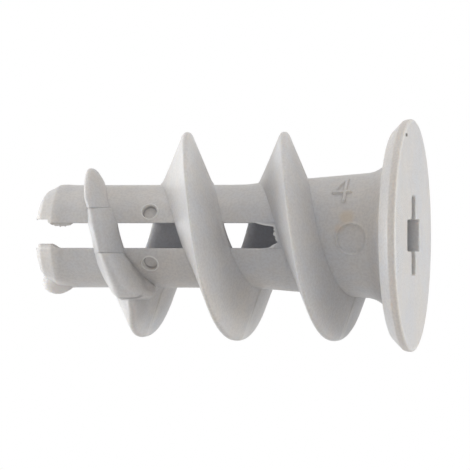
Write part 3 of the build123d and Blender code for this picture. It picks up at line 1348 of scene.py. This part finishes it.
    def colour(self, surface: Surface) -> Socket:
        """Makes the nylon's colour: clouds and flecks between cool and warm grey, then tints and marks.

        Args:
            surface: Node tree of the material.

        Returns:
            The colour's socket.
        """
        clouds = surface.noise(self.cloud_scale, detail=3.0, roughness=self.cloud_roughness)
        flecks = surface.noise(self.fleck_scale, detail=3.0)
        both = surface.add("ShaderNodeMix", {"Factor": self.fleck_share, "A": clouds, "B": flecks})
        shade = surface.add("ShaderNodeValToRGB", {"Fac": both.outputs["Result"]})
        keys = ((self.cool_end, self.cool), (self.warm_end, self.warm))
        for element, (position, colour) in zip(shade.color_ramp.elements, keys):
            element.position = position
            element.color = (*colour, 1.0)
        colour = self.rim.lay(surface, shade.outputs["Color"])
        speckle = surface.noise(self.speckle_scale, detail=1.0)
        dusk = surface.ramp(speckle, *self.speckle_range, 0.0, self.speckle_strength)
        colour = surface.mixed(colour, self.speckle_colour, dusk)
        for mark in self.marks:
            colour = mark.lay(surface, colour)
        return colour

    def make(self, name: str) -> bpy.types.Material:
        """Builds the nylon's node tree.

        Args:
            name: Name of the new material.

        Returns:
            The material, whose patterns read Object coordinates.
        """
        material = bpy.data.materials.new(name)
        surface = Surface(material)
        colour = self.colour(surface)
        stretch = {"Vector": surface.place, "Scale": self.streak_scale}
        drawn = surface.add("ShaderNodeMapping", stretch).outputs["Vector"]
        swirl = surface.noise(self.swirl_scale, detail=4.0)
        grain = surface.noise(self.grain_scale, detail=2.0)
        streaks = surface.noise(1.0, detail=1.0, place=drawn)
        normal = surface.bump(swirl, self.swirl_depth_mm, self.swirl_strength)
        normal = surface.bump(grain, self.grain_depth_mm, self.grain_strength, normal)
        normal = surface.bump(streaks, self.streak_depth_mm, self.streak_strength, normal)
        low, high = self.gloss_range
        gloss = {"Value": swirl, "From Min": low, "From Max": high}
        gloss |= {"To Min": self.roughness_low, "To Max": self.roughness_high}
        looks = {
            "Base Color": colour,
            "Roughness": surface.add("ShaderNodeMapRange", gloss).outputs["Result"],
            "Normal": normal,
            "IOR": self.refractive_index,
            "Subsurface Weight": self.subsurface,
            "Subsurface Radius": self.subsurface_colour,
            "Subsurface Scale": self.subsurface_mm * MM,
        }
        shader = surface.add("ShaderNodeBsdfPrincipled", looks)
        surface.add("ShaderNodeOutputMaterial", {"Surface": shader.outputs["BSDF"]})
        return material


@dataclass(frozen=True)
class Lamp:
    """One soft square lamp that faces the middle of the anchor, from a place given from that middle."""

    name: str
    away_mm: Triple
    watts: float
    colour: Triple = (0.955, 0.98, 1.0)
    side_mm: float = 180.0
    middle_mm: float = 11.0

    def build(self) -> None:
        """Makes the lamp."""
        data = bpy.data.lights.new(self.name, "AREA")
        data.shape = "SQUARE"
        data.size = self.side_mm * MM
        data.energy = self.watts
        data.color = self.colour
        lamp = bpy.data.objects.new(self.name, data)
        bpy.context.collection.objects.link(lamp)
        offset = Vector(self.away_mm) * MM
        lamp.location = Vector((0.0, 0.0, self.middle_mm * MM)) + offset
        lamp.rotation_mode = "QUATERNION"
        lamp.rotation_quaternion = (-offset).to_track_quat("-Z", "Y")


@dataclass(frozen=True)
class Studio:
    """White studio: a pale floor under the head, a soft even world and large soft lamps."""

    floor_half_mm: float = 900.0
    floor_grey: Triple = (0.82, 0.82, 0.82)
    floor_near_mm: float = 26.0
    floor_far_mm: float = 90.0
    world_strength: float = 0.465
    world_colour: Triple = (1.0, 0.975, 0.965)
    lamps: tuple[Lamp, ...] = (
        Lamp("tip_side", (0.0, -54.0, 275.0), 0.46),
        Lamp("head_side", (0.0, 54.0, -275.0), 0.225),
        Lamp("head_front", (0.0, -58.0, -274.0), 0.285),
        Lamp("upper", (280.0, 0.0, 0.0), 0.13, (1.0, 1.0, 1.0)),
        Lamp("tip_back", (0.0, 156.0, 232.0), 0.12),
    )

    def floor_material(self) -> bpy.types.Material:
        """Makes the floor's material: pale from above, and clear from below.

        Seen from above it keeps the anchor's shadow near it, and goes over into the white background further
        out.

        Returns:
            The material.
        """
        material = bpy.data.materials.new("floor")
        surface = Surface(material)
        pale = surface.add("ShaderNodeBsdfDiffuse", {"Color": (*self.floor_grey, 1.0)}).outputs["BSDF"]
        white = surface.add("ShaderNodeEmission", {"Strength": 1.0}).outputs["Emission"]
        clear = surface.add("ShaderNodeBsdfTransparent").outputs["BSDF"]
        span = (self.floor_near_mm * MM, self.floor_far_mm * MM)
        far = surface.ramp(surface.length(surface.place), *span, 0.0, 1.0)
        camera = surface.add("ShaderNodeLightPath").outputs["Is Camera Ray"]
        top = surface.blend(surface.math("MULTIPLY", far, camera), pale, white)
        below = surface.add("ShaderNodeNewGeometry").outputs["Backfacing"]
        surface.add("ShaderNodeOutputMaterial", {"Surface": surface.blend(below, top, clear)})
        return material

    def floor(self) -> bpy.types.Object:
        """Makes the floor, which the picture is taken through from below.

        Returns:
            The floor's object, a square in the plane z = 0.
        """
        half = self.floor_half_mm * MM
        mesh = bpy.data.meshes.new("floor")
        corners = [(-half, -half, 0.0), (half, -half, 0.0), (half, half, 0.0), (-half, half, 0.0)]
        mesh.from_pydata(corners, [], [(0, 1, 2, 3)])
        mesh.materials.append(self.floor_material())
        plane = bpy.data.objects.new("floor", mesh)
        bpy.context.collection.objects.link(plane)
        plane.visible_shadow = False
        plane.visible_diffuse = False
        return plane

    def world(self) -> None:
        """Lights the scene softly from all round, and shows white where a ray sees past the floor."""
        world = bpy.data.worlds.new("studio")
        bpy.context.scene.world = world
        graph = Graph(world)
        tinted = {"Color": (*self.world_colour, 1.0), "Strength": self.world_strength}
        soft = graph.add("ShaderNodeBackground", tinted).outputs["Background"]
        bright = {"Color": (1.0, 1.0, 1.0, 1.0), "Strength": 1.0}
        white = graph.add("ShaderNodeBackground", bright).outputs["Background"]
        path = graph.add("ShaderNodeLightPath").outputs
        mirrored = graph.math("MAXIMUM", path["Is Glossy Ray"], path["Is Transmission Ray"])
        seen = graph.math("MAXIMUM", path["Is Camera Ray"], mirrored)
        graph.add("ShaderNodeOutputWorld", {"Surface": graph.blend(seen, soft, white)})

    def build(self) -> None:
        """Makes the floor, the world and the lamps, and sets how colours are shown."""
        bpy.context.scene.view_settings.view_transform = "Standard"
        self.floor()
        self.world()
        for lamp in self.lamps:
            lamp.build()


@dataclass(frozen=True)
class Viewpoint:
    """Camera of the picture: a long lens, turned so that the anchor's axis is level in the image."""

    below_deg: float = 11.05
    distance_mm: float = 280.0
    aim_height_mm: float = 10.564
    aim_across_mm: float = 0.032
    lens_mm: float = 367.4
    sensor_mm: float = 36.0
    clip_m: tuple[float, float] = (0.01, 10.0)

    def build(self) -> bpy.types.Object:
        """Makes the camera and gives it to the scene.

        Returns:
            The camera's object.
        """
        angle = math.radians(self.below_deg)
        back = Vector((0.0, -math.cos(angle), -math.sin(angle)))
        right = Vector((0.0, math.sin(angle), -math.cos(angle)))
        up = Vector((1.0, 0.0, 0.0))
        data = bpy.data.cameras.new("camera")
        data.lens = self.lens_mm
        data.sensor_width = self.sensor_mm
        data.clip_start, data.clip_end = self.clip_m
        camera = bpy.data.objects.new("camera", data)
        bpy.context.collection.objects.link(camera)
        place = Vector((self.aim_across_mm, 0.0, self.aim_height_mm)) * MM + back * self.distance_mm * MM
        turn = Matrix((right, up, back)).transposed().to_4x4()
        camera.matrix_world = Matrix.Translation(place) @ turn
        bpy.context.scene.camera = camera
        return camera


def main() -> None:
    """Builds the scene in order: frame, camera, studio and the anchor's looks."""
    logging.basicConfig(level=logging.INFO, format="%(name)s: %(message)s")
    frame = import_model()
    Viewpoint().build()
    LOG.info("camera placed")
    Studio().build()
    LOG.info("studio lit")
    nylon = NylonFinish().make("nylon")
    Anchor().build(frame["nodes"]["anchor_body"], nylon)


if __name__ == "__main__":
    main()
